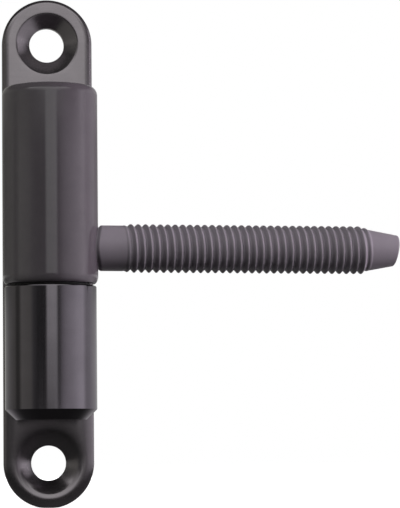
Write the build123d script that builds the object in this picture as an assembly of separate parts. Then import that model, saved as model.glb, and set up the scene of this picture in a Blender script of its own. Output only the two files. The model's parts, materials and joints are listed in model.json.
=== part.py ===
from build123d import *
import math
import os

# Drill-in hinge: a strip plate with a short barrel for the frame, and a longer barrel with a
# threaded stud for the door, turning on a pin that is pressed into the short barrel.
# Millimetres. +Z runs up the hinge axis, +X is the way the stud points and +Y goes into the frame.
# The origin is the middle of the plate's back face, halfway between its two screw holes.

# Frame plate
plate_width = 15.0
plate_thickness = 3.0
plate_front_rounding = 0.9
plate_back_chamfer = 0.3
screw_spacing = 70.0
screw_hole_diameter = 5.8
countersink_diameter = 10.2
countersink_angle = 100.0
countersink_edge_break = 0.25

# Joint between the two barrels
joint_height = -6.2  # the short barrel's top face
joint_gap = 0.3  # kept open by the bush's flange
plate_clearance = 0.5  # between the thicker barrel and the plate's front face
running_clearance = 0.05  # on the radius, where a piece turns or slides on another

# Short barrel on the frame
lower_diameter = 15.0
lower_length = 21.8
lower_top_chamfer = 0.3
lower_bottom_chamfer = 1.7
lower_floor = 4.0  # left below the pin's bore
foot_width = 9.0  # the flat behind the barrel that is welded to the plate

# Long barrel on the door
upper_diameter = 15.6
upper_length = 32.5
upper_top_rounding = 1.5
upper_bottom_rounding = 0.7
upper_roof = 7.3  # left above the bush's bore
flange_rim = 1.35  # the wall left around the bush's flange

# Hinge pin
pin_diameter = 7.0
pin_end_chamfer = 0.8
pin_end_clearance = 1.5  # between the pin's tip and the end of the bore

# Bearing bush
bush_wall = 1.0
bush_setback = 1.0  # from the sleeve's end to the pin's tip
flange_thickness = 1.0

# Threaded stud
rest_swing = 7.0  # degrees that the stud stands back towards the plate's plane
stud_height = 6.0  # above the long barrel's lower face
seat_depth = 1.1  # the stud's shoulder, let into the long barrel's side
spigot_diameter = 5.5
spigot_setback = 0.15  # from the long barrel's bore
neck_diameter = 7.5
neck_length = 5.9
thread_diameter = 8.0  # over the crests of the thread
thread_length = 41.35
tip_length = 5.15  # on the longer side
tip_start_diameter = 6.85
tip_end_diameter = 5.0
tip_end_slant = 8.5  # degrees that the cut end leans
tip_end_chamfer = 0.2

# Places that follow from the sizes
front_face = -plate_thickness
axis_y = front_face - max(upper_diameter, lower_diameter) / 2 - plate_clearance
lower_bottom = joint_height - lower_length
upper_bottom = joint_height + joint_gap
pin_bottom = lower_bottom + lower_floor
bore_end = upper_bottom + upper_length - upper_roof
pin_tip = bore_end - pin_end_clearance
bush_inner_radius = pin_diameter / 2 + running_clearance
bush_outer_radius = bush_inner_radius + bush_wall
bore_radius = bush_outer_radius + running_clearance
recess_radius = upper_diameter / 2 - flange_rim
seat_reach = upper_diameter / 2 - seat_depth  # from the hinge axis to the stud's shoulder
thread_end = neck_length + thread_length

STANDING = (Align.CENTER, Align.CENTER, Align.MIN)
HANGING = (Align.CENTER, Align.CENTER, Align.MAX)


def on_axis(radius, bottom, top):
    """A cylinder on the hinge axis between two heights."""
    return Pos(0, axis_y, bottom) * Cylinder(radius, top - bottom, align=STANDING)


def stud_plane():
    """The plane of the stud's seat, with its normal along the stud."""
    swing = math.radians(rest_swing)
    along = Vector(math.cos(swing), math.sin(swing), 0)
    seat = Vector(0, axis_y, upper_bottom + stud_height) + along * seat_reach
    return Plane(origin=seat, x_dir=(0, 0, 1), z_dir=along)


def make_frame_plate():
    """A flat strip with full-round ends and a countersunk hole at the centre of each end."""
    front = Plane(origin=(0, front_face, 0), x_dir=(1, 0, 0), z_dir=(0, -1, 0))
    strip = SlotCenterToCenter(screw_spacing, plate_width, rotation=90)
    plate = extrude(front * strip, -plate_thickness)
    plate = fillet(plate.faces().sort_by(Axis.Y)[0].edges(), plate_front_rounding)
    plate = chamfer(plate.faces().sort_by(Axis.Y)[-1].edges(), plate_back_chamfer)
    hole_radius = screw_hole_diameter / 2
    sink_radius = countersink_diameter / 2
    sink_depth = (sink_radius - hole_radius) / math.tan(math.radians(countersink_angle / 2))
    hole = Cylinder(hole_radius, plate_thickness, align=HANGING)
    hole += Cone(hole_radius, sink_radius, sink_depth, align=HANGING)
    for end in (-1, 1):
        plate -= front * Pos(0, end * screw_spacing / 2, 0) * hole
    rims = plate.faces().sort_by(Axis.Y)[0].inner_wires().edges()
    return chamfer(rims, countersink_edge_break)


def make_lower_barrel():
    """The frame's barrel, with a flat foot behind it and a blind bore for the pin."""
    barrel = on_axis(lower_diameter / 2, lower_bottom, joint_height)
    barrel = chamfer(barrel.edges().group_by(Axis.Z)[-1], lower_top_chamfer)
    barrel = chamfer(barrel.edges().group_by(Axis.Z)[0], lower_bottom_chamfer)
    foot_length = lower_length - lower_top_chamfer - lower_bottom_chamfer
    foot = Box(foot_width, front_face - axis_y, foot_length, align=(Align.CENTER, Align.MIN, Align.MIN))
    barrel += Pos(0, axis_y, lower_bottom + lower_bottom_chamfer) * foot
    return barrel - on_axis(pin_diameter / 2, pin_bottom, joint_height)


def make_hinge_pin():
    """The plain pin, seated on the floor of the short barrel's bore."""
    pin = on_axis(pin_diameter / 2, pin_bottom, pin_tip)
    return chamfer(pin.edges().filter_by(GeomType.CIRCLE), pin_end_chamfer)


def make_bearing_bush():
    """A flanged sleeve: the flange carries the door's weight between the two barrels."""
    sleeve_end = pin_tip - bush_setback
    bush = on_axis(recess_radius - running_clearance, joint_height, joint_height + flange_thickness)
    bush += on_axis(bush_outer_radius, joint_height, sleeve_end)
    return bush - on_axis(bush_inner_radius, joint_height, sleeve_end)


def make_upper_barrel():
    """The door's barrel, bored from below for the bush and from the side for the stud."""
    barrel = on_axis(upper_diameter / 2, upper_bottom, upper_bottom + upper_length)
    barrel = fillet(barrel.edges().group_by(Axis.Z)[-1], upper_top_rounding)
    barrel = fillet(barrel.edges().group_by(Axis.Z)[0], upper_bottom_rounding)
    barrel -= stud_plane() * Cylinder(neck_diameter / 2, upper_diameter / 2, align=STANDING)
    barrel -= stud_plane() * Cylinder(spigot_diameter / 2, seat_reach, align=HANGING)
    barrel -= on_axis(bore_radius, upper_bottom, bore_end)
    return barrel - on_axis(recess_radius, upper_bottom, joint_height + flange_thickness)


def make_door_stud():
    """The stud for the door: spigot, plain neck, body over the thread's crests and tapered tip, cut off aslant."""
    spigot_radius = spigot_diameter / 2
    spigot_end = bore_radius + spigot_setback - seat_reach
    neck_radius = neck_diameter / 2
    crest_radius = thread_diameter / 2
    tip_radius = tip_start_diameter / 2
    end_radius = tip_end_diameter / 2
    outline = Polyline(
        (0, 0, spigot_end),
        (spigot_radius, 0, spigot_end),
        (spigot_radius, 0, 0),
        (neck_radius, 0, 0),
        (neck_radius, 0, neck_length - crest_radius + neck_radius),
        (crest_radius, 0, neck_length),
        (crest_radius, 0, thread_end - crest_radius + tip_radius),
        (tip_radius, 0, thread_end),
        (end_radius, 0, thread_end + tip_length),
        (0, 0, thread_end + tip_length),
        close=True,
    )
    stud = revolve(make_face(outline), Axis.Z)
    slant = math.radians(tip_end_slant)
    cut = Plane(origin=(end_radius, 0, thread_end + tip_length), z_dir=(-math.sin(slant), 0, math.cos(slant)))
    stud = split(stud, cut, keep=Keep.BOTTOM)
    stud = chamfer(stud.faces().sort_by(Axis.Z)[-1].edges(), tip_end_chamfer)
    return stud_plane() * stud


pieces = {
    "frame_plate": make_frame_plate(),
    "lower_barrel": make_lower_barrel(),
    "hinge_pin": make_hinge_pin(),
    "bearing_bush": make_bearing_bush(),
    "upper_barrel": make_upper_barrel(),
    "door_stud": make_door_stud(),
}

os.makedirs("parts", exist_ok=True)
for name, piece in pieces.items():
    export_step(piece, os.path.join("parts", name + ".step"))
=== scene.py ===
import json
import math

import bmesh
import bpy
from mathutils import Matrix, Vector
from mathutils.geometry import delaunay_2d_cdt


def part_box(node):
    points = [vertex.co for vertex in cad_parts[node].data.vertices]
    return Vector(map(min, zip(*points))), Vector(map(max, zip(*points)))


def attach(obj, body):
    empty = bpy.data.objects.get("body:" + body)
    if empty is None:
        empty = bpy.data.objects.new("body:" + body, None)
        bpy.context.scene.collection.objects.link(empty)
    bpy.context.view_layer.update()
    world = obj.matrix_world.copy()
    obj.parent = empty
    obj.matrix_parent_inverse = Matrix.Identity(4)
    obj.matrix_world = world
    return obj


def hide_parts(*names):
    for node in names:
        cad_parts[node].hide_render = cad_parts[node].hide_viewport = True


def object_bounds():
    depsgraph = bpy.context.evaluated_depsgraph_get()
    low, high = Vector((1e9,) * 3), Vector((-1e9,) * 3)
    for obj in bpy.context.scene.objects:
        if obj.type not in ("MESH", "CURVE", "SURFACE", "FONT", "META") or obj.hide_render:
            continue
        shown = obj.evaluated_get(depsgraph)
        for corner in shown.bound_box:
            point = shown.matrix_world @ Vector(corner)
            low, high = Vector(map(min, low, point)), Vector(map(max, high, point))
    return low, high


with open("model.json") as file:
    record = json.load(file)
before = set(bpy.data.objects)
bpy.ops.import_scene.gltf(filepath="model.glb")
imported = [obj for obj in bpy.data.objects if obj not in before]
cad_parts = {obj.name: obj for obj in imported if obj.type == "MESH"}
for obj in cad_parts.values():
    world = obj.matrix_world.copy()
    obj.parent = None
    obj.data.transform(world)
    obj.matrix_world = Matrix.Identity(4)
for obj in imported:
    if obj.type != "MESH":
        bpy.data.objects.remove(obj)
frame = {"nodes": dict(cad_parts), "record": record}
cad_low, cad_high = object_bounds()
nodes = frame["nodes"]
mounts = {mount["name"]: mount for mount in frame["record"]["mounts"]}

MM = 0.001
UP = Vector((0.0, 0.0, 1.0))
TOUCH = 0.01 * MM  # a point this near to an edge or a face counts as on it
WELD = 0.002 * MM  # points this near to each other become one
SLIVER = 0.001 * MM  # faces narrower than this are closed up
SHARP_ANGLE = math.radians(30.0)

# Camera, as the photograph sees the hinge: from just above the floor, looking slightly up.
CAMERA_AT = Vector((-0.0206, -0.4604, -0.0349))
CAMERA_PITCH = math.radians(4.30)
CAMERA_YAW = math.radians(5.743)
CAMERA_ROLL = math.radians(-0.54)
CAMERA_LENS = 195.2
CAMERA_CLIP_START = 0.01
CAMERA_CLIP_END = 20.0

# Stud's thread: a coarse 8 mm thread, right hand.
THREAD_PITCH = 1.25 * MM
THREAD_OFFSET = -0.26 * MM
THREAD_ROOT_RADIUS = 3.50 * MM
THREAD_CREST_WIDTH = 0.16 * MM
THREAD_ROOT_WIDTH = 0.16 * MM
NECK_RADIUS = 3.75 * MM
NECK_LENGTH = 5.9 * MM
NECK_RELIEF = 0.36 * MM
NECK_RELIEF_FLAT = 0.20 * MM
NECK_RELIEF_LENGTH = 0.60 * MM
TIP_START_RADIUS = 3.425 * MM
TIP_END_RADIUS = 2.5 * MM
TIP_ROUNDING = 0.2 * MM
TIP_SLANT = math.radians(8.5)
STUD_SEGMENTS = 72
STEPS_PER_PITCH = 24

# Frame plate: its front edges and sinks are softened, most of all at the lower end, which was buffed.
SINK_RADIUS = 5.1 * MM
SINK_HALF_ANGLE = math.radians(50.0)
PLATE_BACK_CHAMFER = 0.3 * MM
EDGE_DEPTH = 0.9 * MM
UPPER_EDGE_WIDTH = {"end": 0.7 * MM, "sides": 1.4 * MM}
LOWER_EDGE_WIDTH = {"end": 2.2 * MM, "sides": 3.2 * MM}
UPPER_SINK_SOFTNESS = 0.15 * MM
LOWER_SINK_SOFTNESS = 0.8 * MM
BUFFED_FROM = -15.0 * MM
BUFFED_TO = -27.0 * MM
PLATE_SEGMENTS = 96
EDGE_STEPS = 34
EDGE_MARGIN = 0.5 * MM
RING_STEP = 0.1 * MM
SIDE_STEP = 0.4 * MM
MIDDLE_LOOPS = (0.5, 0.75)  # insets of the loops between the sinks, as shares of half the width

# Long barrel: the rounding of its lower edge is higher than it is deep.
LOWER_ROUNDING = 0.7 * MM
LOWER_ROUNDING_HEIGHT = 1.35 * MM

# Short barrel: its upper edge is an arc, in place of the solid's chamfer of the same size.
TOP_ROUNDING = 0.3 * MM
TOP_ROUNDING_STEPS = 6


# Helpers

def fade(value, start, end):
    """0 before start, 1 after end, straight between."""
    return min(max((value - start) / (end - start), 0.0), 1.0)


def between(one, other, share):
    """The value at a share of the way from one to the other."""
    return one + (other - one) * share


def to_mesh(bm, name):
    """A mesh made of a finished bmesh."""
    mesh = bpy.data.meshes.new(name)
    bm.to_mesh(mesh)
    bm.free()
    return mesh


def to_object(mesh):
    """An object in the scene with the mesh and its name."""
    obj = bpy.data.objects.new(mesh.name, mesh)
    bpy.context.scene.collection.objects.link(obj)
    return obj


def paint(obj, mat):
    """Gives an object one material."""
    obj.data.materials.clear()
    obj.data.materials.append(mat)


# Materials

NOISE_LOW = 0.3  # a noise mostly lies between these two
NOISE_HIGH = 0.7
MOTTLE_SCALE = 260.0
RIPPLE_SCALE = 150.0
RIPPLE_STRETCH = (1.0, 1.0, 0.35)
SPECK_SCALE = 2500.0
SPECK_DEPTH = 0.004 * MM

# Grains: how fine their noise is along X, Y and Z.
EVEN = (900.0, 900.0, 900.0)
TURNED = (500.0, 500.0, 9000.0)
DRAWN = (6000.0, 6000.0, 60.0)
BRUSHED = (200.0, 200.0, 3500.0)


class NodeTree:
    """The nodes of a material or of the world, with a short call for each kind that is used here."""

    def __init__(self, tree):
        self.tree = tree
        self.link = tree.links.new

    def add(self, kind, **settings):
        """A new node with some settings."""
        node = self.tree.nodes.new(kind)
        for key, value in settings.items():
            setattr(node, key, value)
        return node

    def place(self):
        """Object coordinates."""
        return self.add("ShaderNodeTexCoord").outputs["Object"]

    def stretched(self, stretch):
        """Object coordinates, multiplied along each axis."""
        node = self.add("ShaderNodeMapping")
        node.inputs["Scale"].default_value = stretch
        self.link(self.place(), node.inputs["Vector"])
        return node.outputs["Vector"]

    def length(self, vector):
        """The length of a vector."""
        node = self.add("ShaderNodeVectorMath", operation="LENGTH")
        self.link(vector, node.inputs[0])
        return node.outputs["Value"]

    def noise(self, vector, scale, detail, roughness=0.5):
        """The factor of a noise texture on a vector."""
        node = self.add("ShaderNodeTexNoise")
        node.inputs["Scale"].default_value = scale
        node.inputs["Detail"].default_value = detail
        node.inputs["Roughness"].default_value = roughness
        self.link(vector, node.inputs["Vector"])
        return node.outputs["Fac"]

    def ranged(self, value, low, high, from_low=NOISE_LOW, from_high=NOISE_HIGH):
        """A value mapped from one range to another."""
        node = self.add("ShaderNodeMapRange")
        node.inputs["From Min"].default_value = from_low
        node.inputs["From Max"].default_value = from_high
        node.inputs["To Min"].default_value = low
        node.inputs["To Max"].default_value = high
        self.link(value, node.inputs["Value"])
        return node.outputs["Result"]

    def ramp(self, value, stops):
        """A colour ramp with (position, colour) stops."""
        node = self.add("ShaderNodeValToRGB")
        elements = node.color_ramp.elements
        while len(elements) < len(stops):
            elements.new(0.5)
        for element, (position, colour) in zip(elements, stops):
            element.position = position
            element.color = (*colour, 1.0)
        self.link(value, node.inputs["Fac"])
        return node.outputs["Color"]

    def bump(self, height, distance, normal=None):
        """The normal of a bump of some depth, in metres."""
        node = self.add("ShaderNodeBump")
        node.inputs["Strength"].default_value = 1.0
        node.inputs["Distance"].default_value = distance
        self.link(height, node.inputs["Height"])
        if normal is not None:
            self.link(normal, node.inputs["Normal"])
        return node.outputs["Normal"]

    def math(self, operation, *values):
        """A sum, product, comparison or the like of numbers and other nodes' values."""
        node = self.add("ShaderNodeMath", operation=operation)
        for socket, value in zip(node.inputs, values):
            if isinstance(value, float):
                socket.default_value = value
            else:
                self.link(value, socket)
        return node.outputs[0]

    def mixed(self, one, other, factor, blend_type="MIX"):
        """Two colours mixed by a number or another node's value."""
        node = self.add("ShaderNodeMix", data_type="RGBA", blend_type=blend_type)
        if isinstance(factor, float):
            node.inputs["Factor"].default_value = factor
        else:
            self.link(factor, node.inputs["Factor"])
        self.link(one, node.inputs["A"])
        self.link(other, node.inputs["B"])
        return node.outputs["Result"]

    def seen(self):
        """1 for what the camera sees, also in a reflection or through glass, and 0 for other light."""
        path = self.add("ShaderNodeLightPath").outputs
        straight_or_glossy = self.math("MAXIMUM", path["Is Camera Ray"], path["Is Glossy Ray"])
        return self.math("MAXIMUM", straight_or_glossy, path["Is Transmission Ray"])


def new_material(name):
    """A node material, its nodes and its Principled shader."""
    mat = bpy.data.materials.new(name)
    mat.use_nodes = True
    return mat, NodeTree(mat.node_tree), mat.node_tree.nodes["Principled BSDF"]


def coated_metal(name, dark, light, metallic, rough, grain, grain_depth, ripple_depth, specular=0.5):
    """Plated or coated metal: mottled colour, uneven gloss, a grain and a slight ripple."""
    mat, tree, shader = new_material(name)
    mottle = tree.noise(tree.place(), MOTTLE_SCALE, detail=4.0, roughness=0.6)
    tree.link(tree.ramp(mottle, [(NOISE_LOW, dark), (NOISE_HIGH, light)]), shader.inputs["Base Color"])
    shader.inputs["Metallic"].default_value = metallic
    shader.inputs["Specular IOR Level"].default_value = specular
    lines = tree.noise(tree.stretched(grain), scale=1.0, detail=3.0, roughness=0.6)
    tree.link(tree.ranged(lines, *rough), shader.inputs["Roughness"])
    ripple = tree.noise(tree.stretched(RIPPLE_STRETCH), RIPPLE_SCALE, detail=1.0)
    wavy = tree.bump(ripple, ripple_depth)
    tree.link(tree.bump(lines, grain_depth, normal=wavy), shader.inputs["Normal"])
    return mat


def moulded_plastic(name, dark, light, rough):
    """Matt plastic with a fine moulded texture."""
    mat, tree, shader = new_material(name)
    speck = tree.noise(tree.place(), SPECK_SCALE, detail=3.0)
    tree.link(tree.ramp(speck, [(NOISE_LOW, dark), (NOISE_HIGH, light)]), shader.inputs["Base Color"])
    tree.link(tree.ranged(speck, *rough), shader.inputs["Roughness"])
    tree.link(tree.bump(speck, SPECK_DEPTH), shader.inputs["Normal"])
    return mat


satin_coat = coated_metal(
    "satin_coat", dark=(0.112, 0.098, 0.111), light=(0.126, 0.111, 0.125), metallic=0.0,
    rough=(0.06, 0.11), grain=DRAWN, grain_depth=0.0002 * MM, ripple_depth=0.008 * MM, specular=0.58,
)
polished_coat = coated_metal(
    "polished_coat", dark=(0.160, 0.148, 0.162), light=(0.180, 0.167, 0.183), metallic=1.0,
    rough=(0.09, 0.15), grain=DRAWN, grain_depth=0.0010 * MM, ripple_depth=0.020 * MM,
)
plate_coat = coated_metal(
    "plate_coat", dark=(0.205, 0.189, 0.199), light=(0.230, 0.212, 0.223), metallic=0.85,
    rough=(0.17, 0.22), grain=BRUSHED, grain_depth=0.0002 * MM, ripple_depth=0.010 * MM,
)
stud_coat = coated_metal(
    "stud_coat", dark=(0.314, 0.286, 0.320), light=(0.349, 0.318, 0.356), metallic=0.0,
    rough=(0.38, 0.50), grain=EVEN, grain_depth=0.0012 * MM, ripple_depth=0.003 * MM, specular=0.35,
)
pin_steel = coated_metal(
    "pin_steel", dark=(0.50, 0.50, 0.52), light=(0.60, 0.60, 0.62), metallic=1.0,
    rough=(0.14, 0.24), grain=TURNED, grain_depth=0.0008 * MM, ripple_depth=0.001 * MM,
)
bush_plastic = moulded_plastic(
    "bush_plastic", dark=(0.012, 0.012, 0.012), light=(0.020, 0.020, 0.021), rough=(0.45, 0.6),
)


# Stud with its helical thread

def thread_height(phase):
    """Height of the thread's profile, 0 at the root and 1 at the crest, at a share of the pitch."""
    crest = THREAD_CREST_WIDTH / THREAD_PITCH / 2
    root = 0.5 - THREAD_ROOT_WIDTH / THREAD_PITCH / 2
    away = abs(phase - 0.5)
    if away <= crest:
        return 1.0
    if away >= root:
        return 0.0
    return (root - away) / (root - crest)


def make_stud():
    """The door's stud as one skin, wound along its thread from its shoulder to its slanted end."""
    mount = mounts["door_thread"]
    along = Vector(mount["axis"]).normalized()
    across = along.cross(UP)
    crest_radius = mount["dims"]["r_mm"] * MM
    wall = mount["dims"]["length_mm"] * MM
    shoulder = Vector(mount["pos_m"]) - along * (wall / 2 + NECK_LENGTH)
    reach = max((v.co - shoulder).dot(along) for v in nodes["door_stud"].data.vertices)
    thread_end = NECK_LENGTH + wall + crest_radius - TIP_START_RADIUS
    taper = (TIP_START_RADIUS - TIP_END_RADIUS) / (reach - thread_end)
    barrel_low, barrel_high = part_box("upper_barrel")
    barrel_radius = (barrel_high.x - barrel_low.x) / 2
    seat = (shoulder.x - (barrel_low.x + barrel_high.x) / 2) / along.x

    def radius(s, phase, emerges, end):
        """The skin's radius at a distance from the shoulder and a share of the thread's pitch."""
        if s <= NECK_LENGTH - THREAD_PITCH / 2:
            clear = fade(s, emerges + NECK_RELIEF_FLAT, emerges + NECK_RELIEF_LENGTH)
            return NECK_RADIUS - NECK_RELIEF * (1.0 - clear)
        if s >= thread_end:
            r = TIP_START_RADIUS - taper * (s - thread_end)
            into = max(s - (end - TIP_ROUNDING), 0.0) / TIP_ROUNDING
            return r - TIP_ROUNDING * (1.0 - math.sqrt(max(1.0 - into * into, 0.0)))
        rise = fade(s, NECK_LENGTH - THREAD_PITCH / 2, NECK_LENGTH + THREAD_PITCH / 2)
        fall = fade(s, thread_end - THREAD_PITCH, thread_end)
        root = between(NECK_RADIUS, THREAD_ROOT_RADIUS, rise)
        root += (TIP_START_RADIUS - THREAD_ROOT_RADIUS) * fall
        crest = between(NECK_RADIUS, crest_radius, rise)
        crest += (TIP_START_RADIUS - crest_radius) * fall
        return between(root, crest, thread_height(phase))

    step = THREAD_PITCH / STEPS_PER_PITCH
    columns = math.ceil(reach / step) + STEPS_PER_PITCH * 3
    bm = bmesh.new()
    grid = []
    for i in range(STUD_SEGMENTS):
        angle = 2 * math.pi * i / STUD_SEGMENTS
        lead = THREAD_PITCH * i / STUD_SEGMENTS
        spoke = UP * math.cos(angle) + across * math.sin(angle)
        emerges = math.sqrt(barrel_radius ** 2 - (NECK_RADIUS * math.sin(angle)) ** 2) - seat
        end = reach - TIP_END_RADIUS * (1.0 - math.cos(angle)) * math.tan(TIP_SLANT)
        row = []
        for j in range(columns + 1):
            wound = (j - STEPS_PER_PITCH * 2) * step + THREAD_OFFSET
            s = min(max(wound + lead, 0.0), end)
            phase = (j % STEPS_PER_PITCH) / STEPS_PER_PITCH
            row.append(bm.verts.new(shoulder + along * s + spoke * radius(s, phase, emerges, end)))
        grid.append(row)
    for i in range(STUD_SEGMENTS):
        last = i == STUD_SEGMENTS - 1
        following = grid[0] if last else grid[i + 1]
        shift = STEPS_PER_PITCH if last else 0
        for j in range(columns - shift):
            bm.faces.new((grid[i][j], grid[i][j + 1], following[j + 1 + shift], following[j + shift]))
    bmesh.ops.remove_doubles(bm, verts=bm.verts, dist=WELD)
    bmesh.ops.dissolve_degenerate(bm, edges=bm.edges, dist=SLIVER)
    rims = [e for e in bm.edges if e.is_boundary]
    bmesh.ops.holes_fill(bm, edges=rims, sides=0)
    bmesh.ops.recalc_face_normals(bm, faces=bm.faces)
    mesh = to_mesh(bm, "threaded_stud")
    mesh.shade_smooth()
    return to_object(mesh)


stud = make_stud()
paint(stud, stud_coat)
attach(stud, "door_half")
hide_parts("door_stud")


# Frame plate with softened edges

def make_plate():
    """The strip plate: soft front edges, plain sides, a chamfered flat back and two countersunk holes."""
    low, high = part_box("frame_plate")
    pattern = mounts["frame_screws"]["dims"]
    hole_radius = pattern["hole_r_mm"] * MM
    hole_z = pattern["spacing_y_mm"] * MM / 2
    half = (high.x - low.x) / 2
    end_z = high.z - half

    def from_hole(x, z):
        """Distance from the nearer hole's axis."""
        return math.hypot(x, abs(z) - hole_z)

    def from_spine(x, z):
        """Distance from the line between the centres of the two round ends."""
        return math.hypot(x, max(abs(z) - end_z, 0.0))

    def from_edge(x, z):
        """Distance from the outline."""
        return half - from_spine(x, z)

    def rounded(x, z):
        """How wide the front edge is rounded at a place."""
        sideways = (x / max(from_spine(x, z), MM)) ** 2
        upper = between(UPPER_EDGE_WIDTH["end"], UPPER_EDGE_WIDTH["sides"], sideways)
        lower = between(LOWER_EDGE_WIDTH["end"], LOWER_EDGE_WIDTH["sides"], sideways)
        return between(upper, lower, fade(-z, -BUFFED_FROM, -BUFFED_TO))

    def depth(x, z):
        """How far the front lies behind its flat middle."""
        soft = LOWER_SINK_SOFTNESS if z < 0.0 else UPPER_SINK_SOFTNESS
        near = min(max(1.0 - from_edge(x, z) / rounded(x, z), 0.0), 1.0)
        inside = SINK_RADIUS - from_hole(x, z)
        sunk = (inside + math.hypot(inside, soft)) / 2
        return EDGE_DEPTH * (1.0 - math.sqrt(1.0 - near * near)) + sunk / math.tan(SINK_HALF_ANGLE)

    def loop(inset):
        """The outline, moved inwards."""
        r = half - inset
        sides = round(2 * end_z / SIDE_STEP)
        arc = [math.pi * i / PLATE_SEGMENTS for i in range(PLATE_SEGMENTS + 1)]
        run = [end_z - 2 * end_z * i / sides for i in range(1, sides)]
        points = [(r * math.cos(a), end_z + r * math.sin(a)) for a in arc] + [(-r, z) for z in run]
        return points + [(-x, -z) for x, z in points]

    def ring(r, z):
        """A circle about a hole's axis."""
        turns = [math.pi * i / PLATE_SEGMENTS for i in range(2 * PLATE_SEGMENTS)]
        return [(r * math.cos(a), z + r * math.sin(a)) for a in turns]

    def loops_end(x, z):
        """How far from the outline the loops end and the rings about the holes begin."""
        return rounded(x, z) + EDGE_MARGIN

    widest = LOWER_EDGE_WIDTH["sides"] + EDGE_MARGIN
    insets = [widest * (1.0 - math.sin(math.pi / 2 * i / EDGE_STEPS)) for i in range(EDGE_STEPS, -1, -1)]
    rings = math.floor((half - hole_radius) / RING_STEP)
    points = loop(0.0)
    closed = [(0, len(points))]
    for z in (hole_z, -hole_z):
        closed.append((len(points), 2 * PLATE_SEGMENTS))
        points += ring(hole_radius, z)
    edges = [(start + i, start + (i + 1) % count) for start, count in closed for i in range(count)]
    for inset in insets[1:]:
        points += [p for p in loop(inset) if from_edge(*p) < loops_end(*p)]
    for z in (hole_z, -hole_z):
        for i in range(1, rings):
            circle = ring(hole_radius + i * RING_STEP, z)
            points += [p for p in circle if from_edge(*p) > loops_end(*p)]
    for share in MIDDLE_LOOPS:
        points += [p for p in loop(half * share) if from_hole(*p) > half]
    flat, _, faces, _, _, _ = delaunay_2d_cdt([Vector(p) for p in points], edges, [], 0, SLIVER)

    bm = bmesh.new()
    front = [bm.verts.new((p.x, low.y + depth(p.x, p.y), p.y)) for p in flat]
    back = []
    rim = {}
    for i, p in enumerate(flat):
        spine = Vector((0.0, min(max(p.y, -end_z), end_z)))
        on_edge = from_edge(p.x, p.y) < TOUCH
        shrunk = spine + (p - spine) * (1.0 - PLATE_BACK_CHAMFER / half) if on_edge else p
        back.append(bm.verts.new((shrunk.x, high.y, shrunk.y)))
        if on_edge:
            rim[i] = bm.verts.new((p.x, high.y - PLATE_BACK_CHAMFER, p.y))
    used = {}
    for face in faces:
        middle = sum((flat[i] for i in face), Vector((0.0, 0.0))) / len(face)
        if from_hole(middle.x, middle.y) < hole_radius:
            continue
        bm.faces.new([front[i] for i in face])
        bm.faces.new([back[i] for i in reversed(face)])
        for i, j in zip(face, (*face[1:], face[0])):
            used[i, j] = True
    for i, j in used:
        if (j, i) in used:
            continue
        chain_i = [front[i], rim[i], back[i]] if i in rim else [front[i], back[i]]
        chain_j = [front[j], rim[j], back[j]] if i in rim else [front[j], back[j]]
        for k in range(len(chain_i) - 1):
            bm.faces.new((chain_i[k], chain_i[k + 1], chain_j[k + 1], chain_j[k]))
    bmesh.ops.delete(bm, geom=[v for v in bm.verts if not v.link_faces], context="VERTS")
    bmesh.ops.recalc_face_normals(bm, faces=bm.faces)
    mesh = to_mesh(bm, "strip_plate")
    mesh.shade_smooth()
    mesh.set_sharp_from_angle(angle=SHARP_ANGLE)
    return to_object(mesh)


plate = make_plate()
paint(plate, plate_coat)
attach(plate, "frame_half")
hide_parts("frame_plate")


# Long barrel with its lower edge rounded off

def make_long_barrel():
    """The door's barrel, with the rounding of its lower edge stretched upwards."""
    low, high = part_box("upper_barrel")
    axis = (low + high) / 2
    inner = (high.x - low.x) / 2 - LOWER_ROUNDING - TOUCH
    top = low.z + LOWER_ROUNDING + TOUCH
    stretch = LOWER_ROUNDING_HEIGHT / LOWER_ROUNDING
    mesh = nodes["upper_barrel"].data.copy()
    mesh.name = "long_barrel"
    normals = [Vector(corner.vector) for corner in mesh.corner_normals]
    edge = {v.index for v in mesh.vertices
            if v.co.z < top and math.hypot(v.co.x - axis.x, v.co.y - axis.y) > inner}
    for corner in mesh.loops:
        if corner.vertex_index in edge:
            normals[corner.index].z /= stretch
            normals[corner.index].normalize()
    for i in edge:
        v = mesh.vertices[i]
        v.co.z = low.z + (v.co.z - low.z) * stretch
    mesh.normals_split_custom_set(normals)
    return to_object(mesh)


long_barrel = make_long_barrel()
paint(long_barrel, satin_coat)
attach(long_barrel, "door_half")
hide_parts("upper_barrel")


# Short barrel with its upper edge rounded

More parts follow.
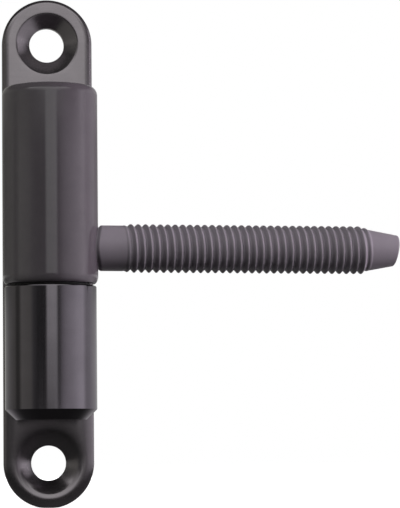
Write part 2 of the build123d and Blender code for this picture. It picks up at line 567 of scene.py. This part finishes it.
def make_short_barrel():
    """The frame's barrel, with an arc of faces in place of its upper chamfer."""
    low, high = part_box("lower_barrel")
    radius = (high.x - low.x) / 2
    axis = Vector(((low.x + high.x) / 2, low.y + radius, 0.0))
    solid = nodes["lower_barrel"].data
    points = [v.co.copy() for v in solid.vertices]
    spokes = [Vector((p.x - axis.x, p.y - axis.y, 0.0)) for p in points]

    def rim(z, r):
        """The points at a height and a distance from the axis."""
        return {i for i, p in enumerate(points)
                if abs(p.z - z) < TOUCH and abs(spokes[i].length - r) < TOUCH}

    lower = rim(high.z - TOP_ROUNDING, radius)
    upper = rim(high.z, radius - TOP_ROUNDING)
    made = {}

    def arc(start, end, step):
        """The point at a step of the arc from the lower rim to the upper one, and the way it faces."""
        share = step / TOP_ROUNDING_STEPS
        angle = math.pi / 2 * share
        spoke = spokes[start].normalized().lerp(spokes[end].normalized(), share).normalized()
        facing = spoke * math.cos(angle) + UP * math.sin(angle)
        if step == 0:
            return start, facing
        if step == TOP_ROUNDING_STEPS:
            return end, facing
        place = (tuple(points[start]), tuple(points[end]), step)
        if place not in made:
            made[place] = len(points)
            centre = axis + spoke * (radius - TOP_ROUNDING) + UP * (high.z - TOP_ROUNDING)
            points.append(centre + facing * TOP_ROUNDING)
        return made[place], facing

    faces = []
    normals = []
    for face in solid.polygons:
        corners = list(face.vertices)
        if not set(corners) <= lower | upper or set(corners) <= lower or set(corners) <= upper:
            faces.append(corners)
            normals += [Vector(solid.corner_normals[i].vector) for i in face.loop_indices]
            continue
        while not (corners[0] in lower and corners[-1] in upper):
            corners = corners[1:] + corners[:1]
        first, middle, last = corners
        near = (first, last)
        far = (middle, last) if middle in lower else (first, middle)
        for step in range(TOP_ROUNDING_STEPS):
            strip = dict([arc(*near, step), arc(*far, step), arc(*far, step + 1), arc(*near, step + 1)])
            faces.append(list(strip))
            normals += strip.values()
    mesh = bpy.data.meshes.new("short_barrel")
    mesh.from_pydata(points, [], faces)
    mesh.shade_smooth()
    mesh.normals_split_custom_set(normals)
    return to_object(mesh)


short_barrel = make_short_barrel()
paint(short_barrel, polished_coat)
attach(short_barrel, "frame_half")
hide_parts("lower_barrel")

paint(nodes["hinge_pin"], pin_steel)
paint(nodes["bearing_bush"], bush_plastic)


# Studio

FLOOR_SIZE = 12.0
FLOOR_NEAR = 0.15
FLOOR_FAR = 0.60
FLOOR_NEAR_GLOW = 0.84  # up to FLOOR_NEAR from the hinge; beyond FLOOR_FAR it is 1
FLOOR_SHOWN = (0.55, 0.55, 0.55)
FLOOR_BOUNCE = (0.04, 0.04, 0.04)
WORLD_LIGHT = 0.05
LAMP_DISTANCE = 1.0
TENT_RADIUS = 0.9
TENT_HEIGHT = 2.4
TENT_CLEARANCE = 0.2 * MM
TENT_SEGMENTS = 96
WALL_FOOT = 0.5 * MM  # the tent's ground lies below this height, and its wall above
HIGH_FROM = 0.165
HIGH_TO = 0.20
GROUND_REACH = 0.1
GROUND_DARK_TO = 0.035
GROUND_LIT_FROM = 0.09
GROUND_LIT = 0.7  # the sides' share in the ground beyond GROUND_LIT_FROM

# The tent's panels: around it, (degrees to the right of the camera's side, brightness, tint), and up
# its wall, (height over its ground, brightness). Between HIGH_FROM and HIGH_TO the sides and the front
# give way to the high panels.
PLAIN = (1.0, 1.0, 1.0)
OLIVE = (1.0, 1.0, 0.92)
MAUVE = (1.0, 0.96, 1.03)
SIDES = [
    (-180, 0.36, OLIVE), (-158, 0.16, OLIVE), (-138, 0.12, OLIVE), (-114, 0.22, OLIVE), (-104, 0.24, OLIVE),
    (-96, 0.10, OLIVE), (-88, 0.12, OLIVE), (-80, 0.34, OLIVE), (-54, 0.28, OLIVE), (-46, 0.14, PLAIN),
    (-34, 0.06, PLAIN), (-20, 0.05, PLAIN), (18, 0.10, PLAIN), (26, 0.38, MAUVE), (36, 0.60, MAUVE),
    (52, 0.80, MAUVE), (68, 1.02, MAUVE), (84, 1.10, MAUVE), (90, 0.80, MAUVE), (96, 0.60, MAUVE),
    (115, 0.62, MAUVE), (126, 0.50, PLAIN), (138, 0.24, PLAIN), (158, 0.22, PLAIN), (180, 0.36, PLAIN),
]
SIDES_UP = [(0.0, 0.85), (0.02, 0.85), (0.035, 1.0), (0.45, 1.0), (0.60, 0.10), (TENT_HEIGHT, 0.08)]
FRONT = [(-180, 0.0, PLAIN), (-15, 0.0, PLAIN), (-10, 1.0, PLAIN), (11, 1.0, PLAIN), (16, 0.0, PLAIN)]
FRONT_UP = [
    (0.0, 0.05), (0.02, 0.10), (0.035, 0.40), (0.09, 0.80), (0.16, 1.05), (0.20, 1.20), (0.30, 1.15),
    (0.42, 0.25), (1.0, 0.08), (TENT_HEIGHT, 0.06),
]
HIGH = [
    (-180, 0.30, OLIVE), (-110, 0.25, OLIVE), (-84, 0.15, OLIVE), (-50, 0.18, OLIVE), (-38, 0.36, PLAIN),
    (-28, 0.55, PLAIN), (-18, 0.78, PLAIN), (-10, 1.0, PLAIN), (11, 1.0, PLAIN), (18, 0.84, PLAIN),
    (26, 0.58, PLAIN), (36, 0.28, PLAIN), (48, 0.08, MAUVE), (62, 0.10, MAUVE), (80, 0.85, MAUVE),
    (96, 0.60, MAUVE), (130, 0.50, PLAIN), (180, 0.30, PLAIN),
]
HIGH_UP = [
    (0.0, 1.05), (0.16, 1.05), (0.20, 1.20), (0.30, 1.15), (0.45, 0.90), (0.60, 0.12), (TENT_HEIGHT, 0.08),
]
HOOD = [(-180, 0.0, PLAIN), (-70, 0.0, PLAIN), (-55, 1.0, PLAIN), (45, 1.0, PLAIN), (60, 0.0, PLAIN)]
HOOD_UP = [(0.0, 0.0), (0.25, 0.0), (0.45, 0.25), (0.62, 1.2), (0.85, 1.4), (1.05, 0.1), (TENT_HEIGHT, 0.0)]
LOW = [
    (-180, 0.0, PLAIN), (-40, 0.0, PLAIN), (-30, 0.40, PLAIN), (-16, 0.40, PLAIN), (-9, 0.0, PLAIN),
    (4, 0.0, PLAIN), (9, 0.45, MAUVE), (16, 0.75, MAUVE), (30, 0.60, MAUVE), (44, 0.20, MAUVE),
    (54, 0.0, MAUVE), (64, 0.0, MAUVE), (72, 0.50, MAUVE), (86, 0.50, MAUVE), (94, 0.0, MAUVE),
]
LOW_UP = [(0.0, 1.0), (0.016, 1.0), (0.026, 0.0), (TENT_HEIGHT, 0.0)]
REAR = [
    (-180, 0.16, PLAIN), (-158, 0.25, PLAIN), (-138, 0.25, PLAIN), (-122, 0.12, PLAIN), (-106, 0.0, PLAIN),
    (112, 0.0, PLAIN), (126, 0.18, MAUVE), (138, 0.38, MAUVE), (158, 0.34, PLAIN), (180, 0.16, PLAIN),
]
REAR_UP = [(0.0, 1.0), (0.08, 1.0), (0.10, 0.0), (TENT_HEIGHT, 0.0)]

# The tent's ground near the hinge, GROUND_REACH to the front and to the back: (share of the way, colour).
GROUND = [
    (0.0, (0.12, 0.12, 0.12)), (0.35, (0.03, 0.03, 0.03)), (0.42, (0.03, 0.03, 0.03)),
    (0.47, (0.05, 0.05, 0.05)), (0.50, (0.11, 0.11, 0.11)), (0.56, (0.30, 0.29, 0.30)),
    (0.70, (0.50, 0.48, 0.50)), (0.85, (0.35, 0.34, 0.35)), (1.0, (0.15, 0.15, 0.15)),
]


def make_floor():
    """A plain floor under the plate's lower end: white to the camera, with the hinge's shadow on it."""
    bm = bmesh.new()
    bmesh.ops.create_grid(bm, x_segments=1, y_segments=1, size=FLOOR_SIZE / 2)
    floor = to_object(to_mesh(bm, "floor"))
    floor.location = (0.0, 0.0, cad_low.z)
    mat, tree, shader = new_material("floor")
    shader.inputs["Roughness"].default_value = 1.0
    shader.inputs["Specular IOR Level"].default_value = 0.0
    shader.inputs["Emission Color"].default_value = (1.0, 1.0, 1.0, 1.0)
    glow = tree.ranged(tree.length(tree.place()), FLOOR_NEAR_GLOW, 1.0, FLOOR_NEAR, FLOOR_FAR)
    seen = tree.seen()
    tree.link(tree.ramp(seen, [(0.0, FLOOR_BOUNCE), (1.0, FLOOR_SHOWN)]), shader.inputs["Base Color"])
    tree.link(tree.math("MULTIPLY", glow, seen), shader.inputs["Emission Strength"])
    paint(floor, mat)


def tent_material():
    """The light of the tent's panels, by bearing and height, and of its ground, by place."""
    mat, tree, shader = new_material("light_tent")
    place = tree.place()
    split = tree.add("ShaderNodeSeparateXYZ")
    tree.link(place, split.inputs["Vector"])
    x, y, z = split.outputs
    bearing = tree.math("ARCTAN2", x, tree.math("MULTIPLY", y, -1.0))
    turn = tree.ranged(bearing, 0.0, 1.0, -math.pi, math.pi)
    climb = tree.ranged(z, 0.0, 1.0, 0.0, TENT_HEIGHT)

    def around(stops):
        """The light around the tent."""
        return tree.ramp(turn, [((degrees + 180) / 360, tuple(light * t for t in tint))
                                for degrees, light, tint in stops])

    def panels(sideways, upwards):
        """The light of one set of panels."""
        stops = [(height / TENT_HEIGHT, (light, light, light)) for height, light in upwards]
        upward = tree.ramp(climb, stops)
        return tree.mixed(sideways, upward, 1.0, "MULTIPLY")

    def plus(one, other):
        """The sum of two lights."""
        return tree.mixed(one, other, 1.0, "ADD")

    sides = around(SIDES)
    wall = plus(panels(sides, SIDES_UP), panels(around(FRONT), FRONT_UP))
    wall = tree.mixed(wall, panels(around(HIGH), HIGH_UP), tree.ranged(z, 0.0, 1.0, HIGH_FROM, HIGH_TO))
    for sideways, upwards in ((HOOD, HOOD_UP), (LOW, LOW_UP), (REAR, REAR_UP)):
        wall = plus(wall, panels(around(sideways), upwards))
    near = tree.ramp(tree.ranged(y, 0.0, 1.0, -GROUND_REACH, GROUND_REACH), GROUND)
    away = tree.ranged(tree.length(place), 0.0, GROUND_LIT, GROUND_DARK_TO, GROUND_LIT_FROM)
    ground = tree.mixed(near, sides, away)
    emission = tree.add("ShaderNodeEmission")
    tree.link(tree.mixed(ground, wall, tree.math("GREATER_THAN", z, WALL_FOOT)), emission.inputs["Color"])
    tree.link(emission.outputs[0], mat.node_tree.nodes["Material Output"].inputs["Surface"])
    mat.node_tree.nodes.remove(shader)
    return mat


def make_tent():
    """A round wall of bright and dark panels about the hinge, seen only in its reflections."""
    bm = bmesh.new()
    bmesh.ops.create_cone(bm, cap_ends=True, cap_tris=False, segments=TENT_SEGMENTS,
                          radius1=TENT_RADIUS, radius2=TENT_RADIUS, depth=TENT_HEIGHT)
    bmesh.ops.translate(bm, verts=bm.verts, vec=(0.0, 0.0, TENT_HEIGHT / 2))
    tent = to_object(to_mesh(bm, "light_tent"))
    tent.location = (0.0, 0.0, cad_low.z + TENT_CLEARANCE)
    paint(tent, tent_material())
    tent.visible_camera = False
    tent.visible_diffuse = False
    tent.visible_transmission = False
    tent.visible_shadow = False


def make_lamp(name, bearing, elevation, size, power, colour):
    """A soft lamp that faces the middle of the hinge, at a bearing to the right of the camera's side."""
    data = bpy.data.lights.new(name, "AREA")
    data.shape = "RECTANGLE"
    data.size, data.size_y = size
    data.energy = power
    data.color = colour
    lamp = bpy.data.objects.new(name, data)
    level = math.cos(math.radians(elevation))
    towards = Vector((
        math.sin(math.radians(bearing)) * level,
        -math.cos(math.radians(bearing)) * level,
        math.sin(math.radians(elevation)),
    ))
    lamp.location = (cad_low + cad_high) / 2 + towards * LAMP_DISTANCE
    lamp.rotation_mode = "QUATERNION"
    lamp.rotation_quaternion = (-towards).to_track_quat("-Z", "Y")
    lamp.visible_glossy = False
    bpy.context.scene.collection.objects.link(lamp)


def make_world():
    """White to the camera and in reflections, with almost no light of its own on the hinge."""
    world = bpy.data.worlds.new("studio")
    world.use_nodes = True
    tree = NodeTree(world.node_tree)
    background = world.node_tree.nodes["Background"]
    background.inputs["Color"].default_value = (1.0, 1.0, 1.0, 1.0)
    tree.link(tree.ranged(tree.seen(), WORLD_LIGHT, 1.0, 0.0, 1.0), background.inputs["Strength"])
    bpy.context.scene.world = world


def make_camera():
    """The photograph's camera."""
    forward = Vector((
        math.sin(CAMERA_YAW) * math.cos(CAMERA_PITCH),
        math.cos(CAMERA_YAW) * math.cos(CAMERA_PITCH),
        math.sin(CAMERA_PITCH),
    ))
    level_right = Vector((math.cos(CAMERA_YAW), -math.sin(CAMERA_YAW), 0.0))
    level_up = level_right.cross(forward)
    right = level_right * math.cos(CAMERA_ROLL) + level_up * math.sin(CAMERA_ROLL)
    up = level_up * math.cos(CAMERA_ROLL) - level_right * math.sin(CAMERA_ROLL)
    data = bpy.data.cameras.new("camera")
    data.lens = CAMERA_LENS
    data.clip_start = CAMERA_CLIP_START
    data.clip_end = CAMERA_CLIP_END
    camera = bpy.data.objects.new("camera", data)
    turn = Matrix((right, up, -forward)).transposed().to_4x4()
    camera.matrix_world = Matrix.Translation(CAMERA_AT) @ turn
    bpy.context.scene.collection.objects.link(camera)
    bpy.context.scene.camera = camera


make_floor()
make_tent()
make_lamp("key_right", bearing=87, elevation=5, size=(0.5, 0.6), power=12.0, colour=(1.02, 0.91, 1.02))
make_lamp("front_top", bearing=18, elevation=38, size=(0.5, 0.4), power=2.7, colour=(1.0, 0.98, 1.0))
make_lamp("top", bearing=0, elevation=80, size=(0.5, 0.5), power=1.1, colour=(1.0, 0.98, 1.0))
make_lamp("fill_left", bearing=-80, elevation=10, size=(0.5, 0.6), power=2.7, colour=(0.98, 1.03, 0.92))
make_lamp("back", bearing=180, elevation=8, size=(0.6, 0.6), power=5.0, colour=(1.0, 0.98, 1.0))
make_world()
make_camera()
bpy.context.scene.view_settings.view_transform = "Standard"
